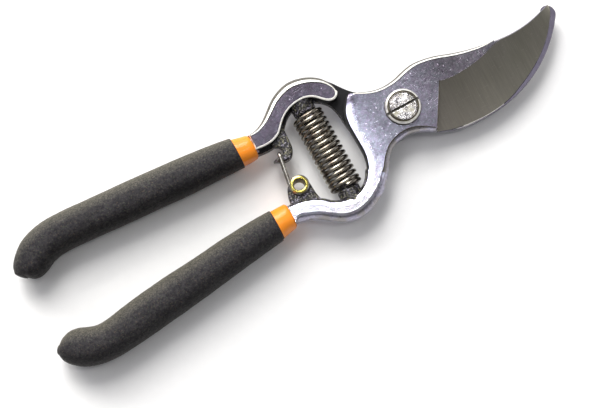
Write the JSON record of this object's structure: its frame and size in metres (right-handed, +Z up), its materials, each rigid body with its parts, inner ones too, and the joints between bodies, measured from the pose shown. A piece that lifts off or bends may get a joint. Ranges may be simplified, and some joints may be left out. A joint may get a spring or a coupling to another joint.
{
  "type": "pruning shears",
  "caption": "Bypass pruning shears: forged steel arms crossing on a slotted pivot bolt, with a coil return spring, a wire latch on a brass eyelet, and dipped black over orange handles.",
  "frame": {"origin": "on the pivot axis, at the underside of the bolt and nut, in the plane that the shears rest on", "axes": "+X along the tool towards the blade's tip, +Y across it towards the hook arm's handle, +Z up along the pivot axis"},
  "size_m": [0.2059, 0.0549, 0.016],
  "materials": {
    "forged_steel": "polished faces with fine scratches and pits, rough black paint between them, satin ground blade",
    "nickel_plate": "nickel plated, worn and scratched",
    "spring_wire": "oiled drawn wire",
    "brass": "bright rolled rim, darker bore",
    "orange_vinyl": "glossy dipped vinyl",
    "black_foam_vinyl": "matte dipped vinyl with a fine foamed grain"
  },
  "bodies": {
    "hook_arm": {"hook_arm": "forged_steel", "pivot_bolt": "nickel_plate", "pivot_washer": "nickel_plate", "pivot_nut": "nickel_plate", "upper_sleeve": "orange_vinyl", "upper_grip": "black_foam_vinyl", "return_spring": "spring_wire"},
    "blade_arm": {"blade_arm": "forged_steel", "latch_eyelet": "brass", "lower_sleeve": "orange_vinyl", "lower_grip": "black_foam_vinyl"},
    "latch": {"latch_wire": "spring_wire"}
  },
  "joints": [
    {"name": "pivot", "type": "hinge", "parent": "hook_arm", "child": "blade_arm", "pos_m": [0, 0, 0.008], "axis": [0, 0, 1], "range_deg": [0, 33], "stiffness_Nm_per_rad": 1.8, "springref_deg": 40.68, "deforming": ["return_spring"]},
    {"name": "latch_swing", "type": "hinge", "parent": "blade_arm", "child": "latch", "pos_m": [-0.0437, -0.0064, 0.008], "axis": [0, 0, 1], "range_deg": [0, 85]}
  ]
}
